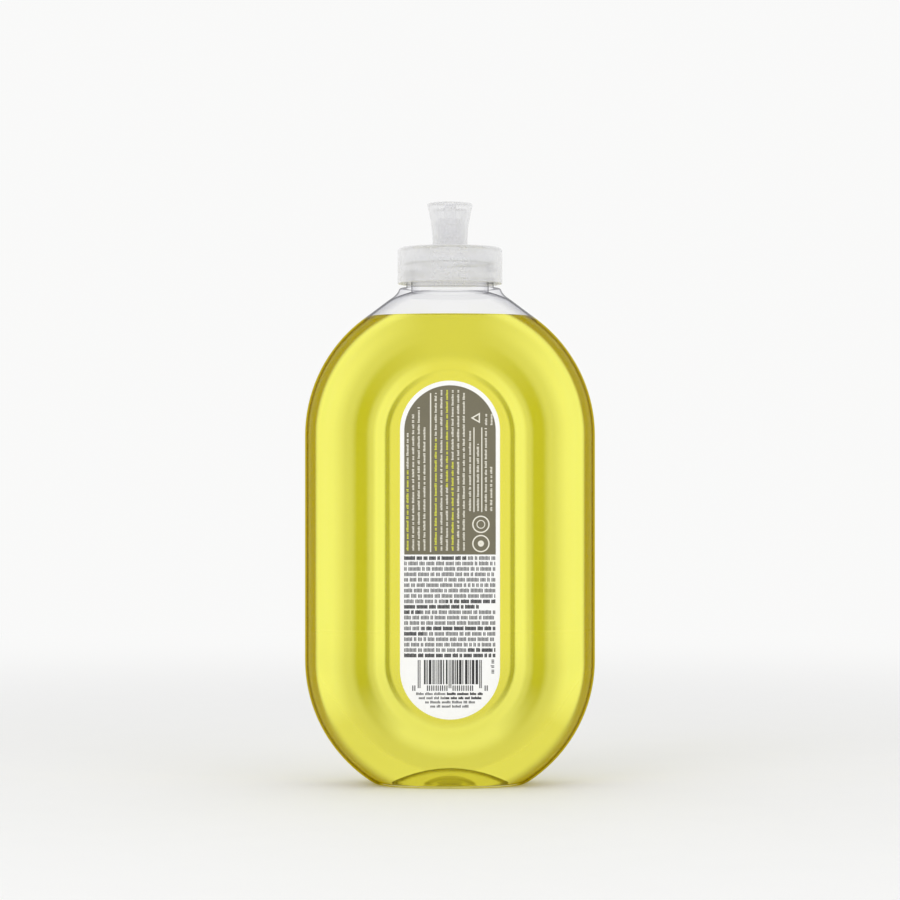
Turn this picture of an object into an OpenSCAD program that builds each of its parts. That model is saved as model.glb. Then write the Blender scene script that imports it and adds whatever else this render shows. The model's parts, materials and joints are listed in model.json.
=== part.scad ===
// Floor cleaner bottle: a flat, pill-shaped blown bottle with a sunk label panel on each side,
// filled with cleaner and closed by a screw cap with a push-pull spout.
// Millimetres. +Z is up, the origin is the centre of the base and the shown side faces -Y.

/* [Body] */
// Overall width of the body, twice the radius of its end arcs
body_w = 115; // [104:0.5:126]
// Straight length between the centres of the top and bottom arcs
body_straight = 88.9; // [80:0.1:110]
// Radius of the rounded ring around the panels, half the depth of the body
ring_r = 23.5; // [21.5:0.25:25]
// Height of the bottom arc that the flat base cuts off
base_cut = 8.1; // [6:0.1:10]
// Thickness of the blown wall
wall = 0.6; // [0.4:0.05:1.1]

/* [Label panels] */
// Width of a panel's flat floor
panel_w = 46.8; // [42:0.1:50]
// Straight length of a panel between its round ends
panel_straight = 93.6; // [80:0.1:98]
// Depth of the body from one panel's floor to the other's
panel_depth = 39.2; // [36:0.1:40]
// Lean of the wall around a panel, from the floor's level to the ring's crest
panel_slope = 3; // [1:0.1:4]
// How far the panels' centre lies below the middle of the straight length
panel_drop = 0.5; // [0:0.1:3]

/* [Labels] */
// Thickness of a label's film
label_t = 0.12; // [0.08:0.01:0.3]
// Bare strip of panel floor at a label's long sides
label_side_margin = 3.9; // [2:0.1:8]
// Bare strip of panel floor at a label's round ends
label_end_margin = 4.1; // [2:0.1:8]

/* [Base] */
// Width of the hollow pushed up into the base
push_up_w = 46; // [36:0.5:50]
// Depth of the hollow, front to back
push_up_d = 25; // [16:0.5:28]
// Height of the hollow
push_up_h = 7; // [3:0.25:8]

/* [Shoulder and neck] */
// Width at which the shoulder leaves the body's top arc
shoulder_w = 70; // [60:0.5:76]
// Width of the steep foot of the collar
collar_foot_w = 47.8; // [44:0.1:52]
// Height of the collar, from its foot to its lip
collar_h = 4.4; // [3:0.1:6]
// Diameter of the collar at its lip
collar_d = 40.8; // [38:0.1:43]
// Rounding of the collar's lip
lip_round = 1; // [0.4:0.1:1.5]
// Height of the lip above the top of the body's arc
lip_rise = 0.8; // [0:0.1:3]
// Diameter of the bare neck
neck_d = 34.6; // [33:0.1:36]
// Thickness of the neck's wall
neck_wall = 2; // [1.2:0.1:2.8]
// Height of the neck above the lip
neck_h = 9.7; // [9:0.1:12]

/* [Screw thread] */
// Height of the neck's thread above the bare neck
thread_h = 1.3; // [0.9:0.1:1.5]
// Rise of the thread in one turn
thread_pitch = 4.23; // [3.8:0.01:4.6]
// Turns of the thread
thread_turns = 1.1; // [0.8:0.05:1.15]
// Width of the thread's ridge at its root
thread_root_w = 2.2; // [1.8:0.1:2.4]
// Width of the thread's ridge at its crest
thread_crest_w = 0.9; // [0.6:0.1:1.2]
// Radial play between the cap's and the neck's thread
thread_play = 0.35; // [0.3:0.05:0.6]

/* [Contents] */
// Air space from the lip down to the cleaner
headspace = 10.9; // [9:0.1:40]
// Gap that keeps the cleaner's solid clear of the wall
contents_gap = 0.1; // [0.05:0.01:0.3]

/* [Cap] */
// Thickness of the cap's skirt
cap_wall = 1.85; // [1.4:0.05:2.5]
// Height of the cap without its spout
cap_h = 14.3; // [14:0.1:18]
// Thickness of the cap's top plate
cap_top = 1.4; // [1:0.1:2]
// Rounding of the cap's top edge
cap_round = 1.4; // [0.4:0.1:1.8]
// Open gap between the lip and the cap's skirt
cap_gap = 1.8; // [1:0.1:2.2]
// Width of the rib inside the cap that presses on the sealing ring
seal_rib_w = 2; // [1.2:0.1:2.4]
// Thickness of the sealing ring
liner_t = 1; // [0.6:0.1:1.5]
// Running gap at the faces of the sealing ring
liner_play = 0.05; // [0.02:0.01:0.1]

/* [Turret] */
// Diameter of the turret that carries the spout
turret_d = 10.8; // [10:0.1:11.2]
// Thickness of the turret's wall
turret_wall = 1.2; // [0.8:0.1:1.4]
// Height of the bead that keeps the spout on
bead_h = 0.45; // [0.3:0.05:0.5]
// Width of the bead along the turret
bead_w = 1.2; // [0.8:0.1:1.6]
// Plain stretch of the turret above its bead
turret_end = 1.4; // [1:0.1:2]
// Thickness of the turret's top, which carries the plug
turret_top = 1.6; // [1:0.1:2]
// Number of flow windows around the plug
windows = 3; // [2:1:4]
// Angle of the web left between two windows
window_web = 45; // [25:5:60]
// Diameter of the plug that closes the spout's mouth
plug_d = 4.8; // [4:0.1:5]

/* [Spout] */
// Height of the spout
spout_h = 17.6; // [17.2:0.1:20]
// Diameter of the spout at its waist
spout_waist_d = 13.8; // [13.6:0.1:15]
// Diameter of the spout's flared rim
spout_rim_d = 18.2; // [17:0.1:20]
// Rounding of the spout's rim
spout_round = 0.8; // [0.3:0.1:1.2]
// Thickness of the spout's roof
spout_roof = 2.6; // [1.5:0.1:2.8]
// Width of the cone that widens the spout's bore under its roof
spout_widening = 1.1; // [0:0.1:1.5]
// Length of the snug stretch at the foot of the spout's bore
spout_guide = 3.9; // [3:0.1:4.2]
// How far the spout pulls up to open
spout_travel = 4.5; // [3.5:0.1:4.8]
// Running clearance on the radius between the spout and the turret
slide_play = 0.05; // [0.02:0.01:0.1]

/* [Hidden] */
$fn = 96;

// Heights and radii of the body
arc_r = body_w / 2;
ring_centre = arc_r - ring_r;
low_arc_z = arc_r - base_cut;
high_arc_z = low_arc_z + body_straight;
panel_z = (low_arc_z + high_arc_z) / 2 - panel_drop;
panel_floor = panel_depth / 2;
core_over = 0.5;    // the core stands over the panel floor, so that the panel is cut from it
far = 3 * body_w;   // longer than any cut needs

// Heights and radii of the neck
lip_z = high_arc_z + arc_r + lip_rise;
collar_r = collar_d / 2;
neck_r = neck_d / 2;
bore_r = neck_r - neck_wall;
neck_top_z = lip_z + neck_h;
fill_z = lip_z - headspace;
shoulder_sink = 0.6;      // the shoulder starts this far inside the body's arc
loft_sides = 72;
throat_r = bore_r - 1;    // the inner shoulder closes to less than the bore, so that it runs into it

// Heights and radii of the cap
cap_bottom_z = lip_z + cap_gap;
cap_top_z = cap_bottom_z + cap_h;
skirt_inner_r = neck_r + thread_h + thread_play;
cap_r = skirt_inner_r + cap_wall;
cap_thread_r = neck_r + thread_play;
thread_sink = 0.3;        // the thread's root sinks this far into the wall that carries it
thread_step = 12;         // degrees from one ring of the thread to the next
thread_fade = 24;         // degrees over which a thread's end fades out
thread_lead = 0.9;        // bare neck above the thread's upper end
neck_thread_z = neck_top_z - thread_root_w / 2 - thread_lead - thread_pitch * thread_turns;
cap_thread_start = 240;   // turn at which the cap's thread starts, from the start of the neck's
cap_thread_z = neck_thread_z - thread_pitch / 2 + thread_pitch * cap_thread_start / 360;
liner_z = neck_top_z + liner_play;
liner_edge = 0.35;        // gap between the sealing ring's edge and the skirt
rib_z = liner_z + liner_t + liner_play;
rib_r = neck_r - neck_wall / 2 - seal_rib_w / 2;

// Heights and radii of the turret and the spout
turret_r = turret_d / 2;
turret_bore_r = turret_r - turret_wall;
bead_r = turret_r + bead_h;
plug_r = plug_d / 2;
spout_seat = 0.1;         // gap under the spout when it is pushed down
spout_z = cap_top_z + spout_seat;
spout_top_z = spout_z + spout_h;
roof_z = spout_top_z - spout_roof;
guide_top_z = spout_z + spout_guide;
stop_gap = 0.2;           // left between the guide and the bead when the spout is fully up
bead_z = guide_top_z + spout_travel + stop_gap;
bead_top_z = bead_z + bead_w;
bead_room = 0.4;          // straight bore left above the bead
turret_top_z = bead_top_z + turret_end;
plug_sink = 0.4;          // the plug's tip lies this far below the spout's top
plug_top_z = spout_top_z - plug_sink;
plug_tip = 0.4;
window_inset = 0.25;      // gap between a flow window and the plug or the bore
wide_bore_r = bead_r + 2 * slide_play;
waist_stretch = 1.2;      // straight stretch at the foot of the spout

// Half-depth of the ring at a distance from the body's centre line
function ring_depth(d) = sqrt(pow(ring_r, 2) - pow(d - ring_centre, 2));

function mix(a, b, t) = a + (b - a) * t;

// A point on a bent path from a to c that starts and ends towards b
function bend(a, b, c, t) = mix(mix(a, b, t), mix(b, c, t), t);

// Sections of the shoulder as [height, half-width, half-depth], from the body up to the lip
shoulder_start_z = high_arc_z + sqrt(pow(arc_r, 2) - pow(shoulder_w / 2 + shoulder_sink, 2));
shoulder_start_y = ring_depth(shoulder_start_z - high_arc_z) - shoulder_sink / 2;
collar_foot_z = lip_z - collar_h;
collar_bend = [collar_foot_z + collar_h / 3, mix(collar_r, collar_foot_w / 2, 0.45)];
function shoulder_depth(z) =
    mix(shoulder_start_y, collar_r, (z - shoulder_start_z) / (lip_z - lip_round - shoulder_start_z));
shoulder_line = [
    [shoulder_start_z, shoulder_w / 2],
    for (t = [0:0.25:1])
        bend([collar_foot_z, collar_foot_w / 2], collar_bend, [lip_z - lip_round, collar_r], t)
];
lip_line = [
    for (a = [30:30:90])
        [lip_z - lip_round * (1 - sin(a)), collar_r - lip_round * (1 - cos(a))]
];
shoulder_sections = concat(
    [for (p = shoulder_line) [p[0], p[1], shoulder_depth(p[0])]],
    [for (p = lip_line) [p[0], p[1], p[1]]]
);
// The inner shoulder keeps the wall up to the collar, then closes towards the neck's bore
function inner_shoulder_sections(inset) = [
    [shoulder_start_z, shoulder_w / 2 - inset, shoulder_start_y - inset],
    [collar_foot_z - inset, collar_foot_w / 2 - inset, shoulder_depth(collar_foot_z) - inset],
    [lip_z - lip_round - inset, throat_r, throat_r]
];

// Half of the body's section, right of its centre line
module ring_section(inset) {
    translate([ring_centre, 0]) circle(ring_r - inset);
    core = panel_floor + core_over - inset;
    translate([0, -core]) square([ring_centre, 2 * core]);
}

// The pill-shaped ring and its core, before the base and the panels are cut
module ring_form(inset) {
    for (end = [[low_arc_z, 180], [high_arc_z, 0]])
        translate([0, 0, end[0]]) rotate([90, end[1], 0])
            rotate_extrude(angle = 180) ring_section(inset);
    translate([0, 0, low_arc_z]) linear_extrude(body_straight) {
        ring_section(inset);
        mirror([1, 0]) ring_section(inset);
    }
}

// A pill standing on its edge in XZ, from the floor at y = 0 out to y = -height, wider as it rises
module pill_block(floor_r, mouth_r, straight, height) {
    rotate([90, 0, 0]) {
        for (side = [-1, 1])
            translate([0, side * straight / 2, 0]) cylinder(height, floor_r, mouth_r);
        translate([0, -straight / 2, 0]) rotate([90, 0, 180]) linear_extrude(straight)
            polygon([[-floor_r, 0], [floor_r, 0], [mouth_r, height], [-mouth_r, height]]);
    }
}

// The room of both panels; inset moves their floors and walls into the body
module panel_room(inset) {
    height = ring_r - panel_floor + 1;
    slope = panel_slope / (ring_r - panel_floor) * height;
    for (turn = [0, 180])
        translate([0, 0, panel_z]) rotate([0, 0, turn]) translate([0, inset - panel_floor, 0])
            pill_block(panel_w / 2 + inset, panel_w / 2 + inset + slope, panel_straight, height + inset);
}

// The hollow in the base, a round dome squeezed from front to back
module push_up_room(grow) {
    half = push_up_w / 2;
    dome_r = (half * half + push_up_h * push_up_h) / (2 * push_up_h);
    scale([1, push_up_d / push_up_w, 1])
        translate([0, 0, push_up_h - dome_r]) sphere(dome_r + grow);
}

// The body below the shoulder; with an inset it is the body's inside
module body_form(inset) {
    difference() {
        ring_form(inset);
        panel_room(inset);
        translate([-far / 2, -far / 2, inset - far]) cube(far);
        push_up_room(inset);
    }
}

// A solid through oval sections, each [height, half-width, half-depth]
module oval_loft(sections) {
    last = len(sections) - 1;
    points = [
        for (s = sections)
            for (i = [0:loft_sides - 1])
                [s[1] * cos(360 * i / loft_sides), s[2] * sin(360 * i / loft_sides), s[0]]
    ];
    function corner(ring, i) = ring * loft_sides + i % loft_sides;
    faces = concat(
        [[for (i = [0:loft_sides - 1]) corner(0, i)]],
        [for (k = [0:last - 1])
            for (i = [0:loft_sides - 1])
                [corner(k + 1, i), corner(k + 1, i + 1), corner(k, i + 1), corner(k, i)]],
        [[for (i = [loft_sides - 1:-1:0]) corner(last, i)]]
    );
    polyhedron(points, faces, convexity = 4);
}

// A thread's ridge wound around +Z. Its crest lies outside its root on the neck and inside it on the cap.
module thread_ridge(root_r, crest_r, z, start, turns) {
    steps = ceil(360 * turns / thread_step);
    sweep = 360 * turns;
    outward = crest_r > root_r;
    sunk_r = outward ? root_r - thread_sink : root_r + thread_sink;
    function height_at(a) = min(1, 0.05 + min(a, sweep - a) / thread_fade);
    function ridge_point(r, a, dz) =
        [r * cos(start + a), r * sin(start + a), z + thread_pitch * a / 360 + dz];
    points = [
        for (i = [0:steps])
            let (a = sweep * i / steps, crest = mix(root_r, crest_r, height_at(a)))
                for (p = [
                    [sunk_r, -thread_root_w / 2], [crest, -thread_crest_w / 2],
                    [crest, thread_crest_w / 2], [sunk_r, thread_root_w / 2]
                ]) ridge_point(p[0], a, p[1])
    ];
    sides = [
        for (i = [0:steps - 1])
            for (k = [0:3])
                [4 * i + k, 4 * i + (k + 1) % 4, 4 * i + 4 + (k + 1) % 4, 4 * i + 4 + k]
    ];
    ends = [[3, 2, 1, 0], [4 * steps, 4 * steps + 1, 4 * steps + 2, 4 * steps + 3]];
    function flipped(face) = [for (i = [len(face) - 1:-1:0]) face[i]];
    faces = [for (f = concat(sides, ends)) outward ? f : flipped(f)];
    polyhedron(points, faces, convexity = 6);
}

// The blown bottle with its neck, in one piece
module bottle() color([0.9, 0.94, 0.94, 0.5]) difference() {
    union() {
        body_form(0);
        oval_loft(shoulder_sections);
        translate([0, 0, collar_foot_z]) cylinder(neck_top_z - collar_foot_z, neck_r, neck_r);
        thread_ridge(neck_r, neck_r + thread_h, neck_thread_z, 0, thread_turns);
    }
    body_form(wall);
    oval_loft(inner_shoulder_sections(wall));
    translate([0, 0, collar_foot_z]) cylinder(far, bore_r, bore_r);
}

// The cleaner that fills the bottle up to its level
module cleaner_liquid() color([0.91, 0.87, 0.3]) intersection() {
    union() {
        body_form(wall + contents_gap);
        oval_loft(inner_shoulder_sections(wall + contents_gap));
    }
    translate([-far / 2, -far / 2, fill_z - far]) cube(far);
}

// A label's film on the panel's floor
module label() {
    half_w = panel_w / 2 - label_side_margin;
    straight = panel_straight + panel_w - 2 * label_end_margin - 2 * half_w;
    translate([0, -panel_floor, panel_z]) pill_block(half_w, half_w, straight, label_t);
}

module rear_label() color([0.96, 0.96, 0.94]) label();

module front_label() color([0.96, 0.96, 0.94]) rotate([0, 0, 180]) label();

// The ring that seals the cap to the neck
module cap_liner() color([0.85, 0.86, 0.86])
    translate([0, 0, liner_z]) rotate_extrude()
        translate([bore_r, 0]) square([skirt_inner_r - liner_edge - bore_r, liner_t]);

// Half section of the cap's skirt, top plate and sealing rib
module cap_section() {
    plate_z = cap_top_z - cap_top;
    round_z = cap_top_z - cap_round;
    difference() {
        union() {
            translate([0, cap_bottom_z]) square([cap_r, cap_h - cap_round]);
            translate([0, round_z]) square([cap_r - cap_round, cap_round]);
            translate([cap_r - cap_round, round_z]) circle(cap_round);
        }
        translate([-1, cap_bottom_z - 1]) square([skirt_inner_r + 1, plate_z - cap_bottom_z + 1]);
    }
    translate([rib_r, rib_z]) square([seal_rib_w, plate_z - rib_z + cap_top / 2]);
}

// Half section of the turret with its bead and its top
module turret_section() {
    foot_z = cap_top_z - cap_top;
    translate([turret_bore_r, foot_z]) square([turret_wall, turret_top_z - foot_z]);
    translate([0, turret_top_z - turret_top]) square([turret_r, turret_top]);
    inside = turret_r - turret_wall / 2;
    polygon([[inside, bead_z], [bead_r, bead_z], [bead_r, bead_z + bead_w / 2],
             [turret_r, bead_top_z], [inside, bead_top_z]]);
}

// The plug on the turret's top, with its blunt tip
module plug() {
    foot_z = turret_top_z - turret_top / 2;
    translate([0, 0, foot_z]) cylinder(plug_top_z - plug_tip - foot_z, plug_r, plug_r);
    translate([0, 0, plug_top_z - plug_tip]) cylinder(plug_tip, plug_r, plug_r - plug_tip);
}

// The flow windows through the turret's top, around the plug
module window_room() {
    sweep = 360 / windows - window_web;
    for (i = [0:windows - 1])
        rotate([0, 0, 360 / windows * i]) translate([0, 0, turret_top_z - turret_top - 1])
            rotate_extrude(angle = sweep) translate([plug_r + window_inset, 0])
                square([turret_bore_r - plug_r - 2 * window_inset, turret_top + 2]);
}

// The screw cap: skirt with thread, top plate, sealing rib, and the turret that carries the spout
module screw_cap() color([0.92, 0.93, 0.93]) {
    difference() {
        union() {
            rotate_extrude() cap_section();
            rotate_extrude() turret_section();
        }
        translate([0, 0, cap_bottom_z])
            cylinder(turret_top_z - turret_top - cap_bottom_z, turret_bore_r, turret_bore_r);
        window_room();
    }
    plug();
    thread_ridge(skirt_inner_r, cap_thread_r, cap_thread_z, cap_thread_start, thread_turns);
}

// The spout: a waisted, flared sleeve that slides on the turret, with a mouth that the plug closes
module pull_spout() color([0.94, 0.94, 0.94]) rotate_extrude() spout_section();

module spout_section() {
    waist_r = spout_waist_d / 2;
    rim_r = spout_rim_d / 2;
    flare_h = spout_h - spout_round - waist_stretch;
    flare = rim_r - waist_r;
    flare_r = (flare * flare + flare_h * flare_h) / (2 * flare);
    rim_z = spout_top_z - spout_round;
    difference() {
        union() {
            difference() {
                translate([0, spout_z]) square([rim_r, spout_h - spout_round]);
                translate([waist_r + flare_r, spout_z + waist_stretch]) circle(flare_r, $fn = 720);
                translate([waist_r, spout_z - 1]) square([flare_r, waist_stretch + 1]);
            }
            translate([0, rim_z]) square([rim_r - spout_round, spout_round]);
            translate([rim_r - spout_round, rim_z]) circle(spout_round);
        }
        translate([-1, spout_z - 1]) square([turret_r + slide_play + 1, spout_guide + 2]);
        translate([-1, guide_top_z]) square([wide_bore_r + 1, bead_top_z + bead_room - guide_top_z]);
        polygon([[0, guide_top_z], [wide_bore_r, bead_top_z + bead_room],
                 [wide_bore_r + spout_widening, roof_z], [0, roof_z]]);
        translate([-1, roof_z - 1]) square([plug_r + slide_play + 1, spout_roof + 2]);
    }
}

bottle();
cleaner_liquid();
rear_label();
front_label();
cap_liner();
screw_cap();
pull_spout();
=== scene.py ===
"""Floor cleaner bottle: a clear, flat, pill-shaped bottle of yellow cleaner with printed labels on
its two sunk panels, a translucent screw cap and a push-pull spout. In metres, with the shown side
at -Y and +Z up."""

import json
import math
import random

import bmesh
import bpy
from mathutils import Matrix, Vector

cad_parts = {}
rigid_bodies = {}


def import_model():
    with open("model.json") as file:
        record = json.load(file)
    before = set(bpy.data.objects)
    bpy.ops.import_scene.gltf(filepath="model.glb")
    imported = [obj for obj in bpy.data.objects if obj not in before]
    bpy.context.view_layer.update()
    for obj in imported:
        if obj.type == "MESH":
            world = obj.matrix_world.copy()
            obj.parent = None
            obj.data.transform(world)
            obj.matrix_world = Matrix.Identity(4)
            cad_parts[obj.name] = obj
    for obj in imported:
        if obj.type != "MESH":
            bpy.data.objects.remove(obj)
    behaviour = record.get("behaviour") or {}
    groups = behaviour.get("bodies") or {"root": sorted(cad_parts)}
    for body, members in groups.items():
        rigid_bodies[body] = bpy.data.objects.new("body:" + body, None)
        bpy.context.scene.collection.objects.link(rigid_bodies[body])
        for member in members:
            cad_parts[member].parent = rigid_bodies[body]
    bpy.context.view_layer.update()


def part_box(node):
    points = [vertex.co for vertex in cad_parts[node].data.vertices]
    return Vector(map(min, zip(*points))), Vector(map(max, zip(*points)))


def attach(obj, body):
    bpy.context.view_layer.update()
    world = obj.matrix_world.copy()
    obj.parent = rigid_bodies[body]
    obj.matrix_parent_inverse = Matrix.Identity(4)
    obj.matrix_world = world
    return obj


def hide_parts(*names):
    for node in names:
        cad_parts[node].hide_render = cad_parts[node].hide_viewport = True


bl_info = {
    "name": "Floor Cleaner Bottle",
    "version": (1, 0, 0),
    "blender": (4, 5, 0),
    "location": "View3D > Sidebar > Bottle",
    "description": "Builds the bottle, its cleaner, labels, cap and spout, and a pale studio",
    "category": "Add Mesh",
}

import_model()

MM = 0.001
TINY = 1e-7
bottle_low, bottle_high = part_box("bottle")
cleaner_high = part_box("cleaner_liquid")[1]
label_low, label_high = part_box("rear_label")
cap_low, cap_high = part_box("screw_cap")
seal_low, seal_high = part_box("cap_liner")
spout_low, spout_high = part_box("pull_spout")


# Sizes and colours that a user may change

def length(name, about, default):
    """A length property in metres whose default is given in millimetres."""
    return bpy.props.FloatProperty(
        name=name, description=about, default=default * MM, min=0, unit="LENGTH", precision=5
    )


def colour(name, about, default):
    """A colour property with its default as red, green and blue from 0 to 1."""
    return bpy.props.FloatVectorProperty(
        name=name, description=about, default=default, min=0, max=1, size=3, subtype="COLOR"
    )


class BodySizes(bpy.types.PropertyGroup):
    """Sizes of the blown bottle."""

    base_cut: length("Base cut", "Height of the bottom arc that the flat base cuts off", 8.1)
    straight: length("Straight", "Length between the centres of the two end arcs", 88.9)
    wall: length("Wall", "Thickness of the blown wall", 0.6)
    contents_gap: length("Contents gap", "Gap between the wall and the cleaner", 0.12)
    panel_radius: length("Panel radius", "Half the width of a panel's flat floor", 23.4)
    panel_straight: length("Panel straight", "Length between the centres of a panel's ends", 93.6)
    panel_drop: length("Panel drop", "How far the panels sit below the middle", 0.5)
    panel_lean: length("Panel lean", "Outward lean of the wall around a panel", 3)
    floor_round: length("Floor rounding", "Softness of the corner at a panel's floor", 0.5)
    crest_round: length("Crest rounding", "Softness of the edge where a panel meets the ring", 0.8)
    heel: length("Heel", "Rounding between the side and the base", 1.6)
    push_up_width: length("Push-up width", "Width of the hollow in the base", 52)
    push_up_depth: length("Push-up depth", "Depth of the hollow, front to back", 25)
    push_up_height: length("Push-up height", "Height of the hollow", 6.4)
    meniscus: length("Meniscus", "Rise of the cleaner's surface at the wall", 0.6)


class NeckSizes(bpy.types.PropertyGroup):
    """Sizes of the shoulder, collar and neck."""

    shoulder_width: length("Shoulder width", "Width where the shoulder leaves the arc", 70)
    collar_foot: length("Collar foot", "Width of the steep foot of the collar", 47.8)
    collar_height: length("Collar height", "From the collar's foot to its lip", 4.4)
    collar_width: length("Collar width", "Diameter of the collar at its lip", 40.8)
    lip_round: length("Lip rounding", "Rounding of the collar's lip", 1)
    lip_rise: length("Lip rise", "Height of the lip above the top arc", 0.8)
    neck_width: length("Neck width", "Diameter of the bare neck", 34.6)
    neck_wall: length("Neck wall", "Thickness of the neck's wall", 2)
    thread_height: length("Thread height", "Height of the thread's ridge", 1.3)
    thread_pitch: length("Thread pitch", "Rise of the thread in one turn", 4.23)
    thread_foot: length("Thread foot", "Width of the ridge at its root", 2.2)
    thread_crest: length("Thread crest", "Width of the ridge at its crest", 0.9)
    thread_play: length("Thread play", "Play between the two threads", 0.35)
    thread_lead: length("Thread lead", "Bare neck above the thread", 0.9)
    thread_turns: bpy.props.FloatProperty(
        name="Thread turns", description="Turns of the thread", default=1.1, min=0.5, max=2
    )


class ClosureSizes(bpy.types.PropertyGroup):
    """Sizes of the cap, the turret inside it and the spout."""

    skirt_wall: length("Skirt wall", "Thickness of the cap's skirt", 1.85)
    cap_height: length("Cap height", "Height of the cap without its turret", 14.3)
    plate: length("Top plate", "Thickness of the cap's top plate", 1.4)
    cap_round: length("Cap rounding", "Rounding of the cap's top edge", 1.4)
    rib_width: length("Rib width", "Width of the rib that presses the seal", 2)
    turret_width: length("Turret width", "Diameter of the turret", 10.8)
    turret_wall: length("Turret wall", "Thickness of the turret's wall", 1.2)
    bead_height: length("Bead height", "Height of the bead that keeps the spout on", 0.45)
    bead_width: length("Bead width", "Width of the bead along the turret", 1.2)
    turret_end: length("Turret end", "Plain turret above its bead", 1.4)
    turret_top: length("Turret top", "Thickness of the turret's top", 1.6)
    plug_width: length("Plug width", "Diameter of the plug", 4.8)
    waist: length("Spout waist", "Diameter of the spout's foot", 13.8)
    spout_round: length("Rim rounding", "Rounding of the spout's rim", 0.8)
    spout_roof: length("Spout roof", "Thickness of the spout's roof", 2.6)
    spout_guide: length("Spout guide", "Snug length at the foot of the spout's bore", 3.9)
    spout_travel: length("Spout travel", "How far the spout pulls up", 4.5)
    widening: length("Widening", "Cone under the spout's roof", 1.1)
    windows: bpy.props.IntProperty(
        name="Windows", description="Flow windows around the plug", default=3, min=2, max=4
    )


class BottleColours(bpy.types.PropertyGroup):
    """Colours of the pieces."""

    # Painted light: the cleaner's bright bands, where refraction in the ring shows light.
    cleaner_painted_light: colour("Cleaner, bright", "Brightest bands of the cleaner", (1.0, 0.94, 0.055))
    # The crown's band at the sides is deeper where the cleaner is thickest and darkened further
    # with painted shade.
    cleaner_crown_depth_and_shade: colour("Cleaner, crown", "The deep band over the crown", (0.38, 0.33, 0.0005))
    cleaner_panel: colour("Cleaner, panel", "The cleaner behind a panel", (0.77, 0.67, 0.02))
    # Painted shade: the dark olive band along the ring's outer edge.
    cleaner_edge_painted_shade: colour("Cleaner, edge", "The olive band at the outer edge", (0.21, 0.13, 0.0))
    # The crown's bands over the top and under the bottom: deeper where the cleaner is thickest,
    # with painted shade, more over the top than under the bottom.
    cleaner_top_depth_and_shade: colour("Cleaner, top", "The ring's top", (0.57, 0.5, 0.01))
    cleaner_low_depth_and_shade: colour("Cleaner, bottom", "The ring's bottom", (0.68, 0.6, 0.02))
    # Painted shade: the dark line along the leaning wall around a panel.
    cleaner_wall_painted_shade: colour("Cleaner, wall", "The line around a panel", (0.27, 0.24, 0.002))
    hollow: colour("Hollow", "The cleaner over the base's hollow", (0.78, 0.75, 0.42))
    # Painted shade and painted light: the dark and pale lines of the hollow's two arches, standing
    # in for the outlines and reflections there.
    hollow_painted_shade: colour("Hollow, top", "The same at the hollow's top", (0.62, 0.58, 0.25))
    hollow_painted_light: colour("Hollow, rim", "The same at the hollow's rim", (0.93, 0.91, 0.7))
    label_white: colour("Label white", "Bare film", (0.93, 0.93, 0.92))
    label_taupe: colour("Label taupe", "Printed field", (0.163, 0.147, 0.094))
    label_cream: colour("Label cream", "Pale print", (0.8, 0.77, 0.67))
    label_lime: colour("Label lime", "Lime print", (0.72, 0.72, 0.05))
    label_grey: colour("Label grey", "Fine print", (0.11, 0.11, 0.11))
    label_black: colour("Label black", "Bold print", (0.02, 0.02, 0.022))
    cap: colour("Cap", "Natural plastic of the cap", (0.86, 0.86, 0.865))
    spout: colour("Spout", "Natural plastic of the spout", (0.86, 0.86, 0.865))
    seal: colour("Seal", "Foam of the sealing ring", (0.72, 0.73, 0.73))
    wet_rim: colour("Wet rim", "The wall's edge with cleaner behind it", (0.73, 0.65, 0.05))
    floor: colour("Floor", "Pale studio floor", (0.91, 0.91, 0.905))


def body():
    return bpy.context.scene.bottle_body


def neck():
    return bpy.context.scene.bottle_neck


def closure():
    return bpy.context.scene.bottle_closure


def shades():
    return bpy.context.scene.bottle_colours


# Small sums

def mix(a, b, share):
    return a + (b - a) * share


def held(value, low=0.0, high=1.0):
    return min(max(value, low), high)


def soft_max(a, b, reach):
    """The greater of two lengths, with the crease between them rounded over reach."""
    near = max(reach - abs(a - b), 0) / reach
    return max(a, b) + near * near * reach / 4


def soft_min(a, b, reach):
    return -soft_max(-a, -b, reach)


# Form of the body, as functions of the sizes

ARC_RADIUS = bottle_high.x
RING_RADIUS = bottle_high.y
RING_CENTRE = ARC_RADIUS - RING_RADIUS
PANEL_FLOOR = -label_high.y
HALVINGS = 40


def low_arc():
    return ARC_RADIUS - body().base_cut


def high_arc():
    return low_arc() + body().straight


def panel_arcs():
    """Heights of the centres of a panel's lower and upper end."""
    middle = (low_arc() + high_arc()) / 2 - body().panel_drop
    half = body().panel_straight / 2
    return middle - half, middle + half


def pill_distance(x, z, low, high):
    """Distance in the picture plane from the line between two arc centres."""
    return math.hypot(x, z - held(z, low, high))


def ring_depth(distance, inset):
    """Half-depth of the ring at a distance from the body's centre line."""
    radius = RING_RADIUS - inset
    return math.sqrt(max(radius**2 - (distance - RING_CENTRE) ** 2, 0))


def half_depth(x, z, inset):
    """Half-depth of the body, with the panel's floor, its leaning wall and soft edges."""
    ring = ring_depth(pill_distance(x, z, low_arc(), high_arc()), inset)
    floor = PANEL_FLOOR - inset
    steep = (RING_RADIUS - PANEL_FLOOR) / body().panel_lean
    past = pill_distance(x, z, *panel_arcs()) - body().panel_radius - inset
    if past < -body().crest_round:
        return floor
    panel = soft_max(floor, floor + past * steep, body().floor_round)
    return soft_min(panel, ring, body().crest_round)


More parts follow.
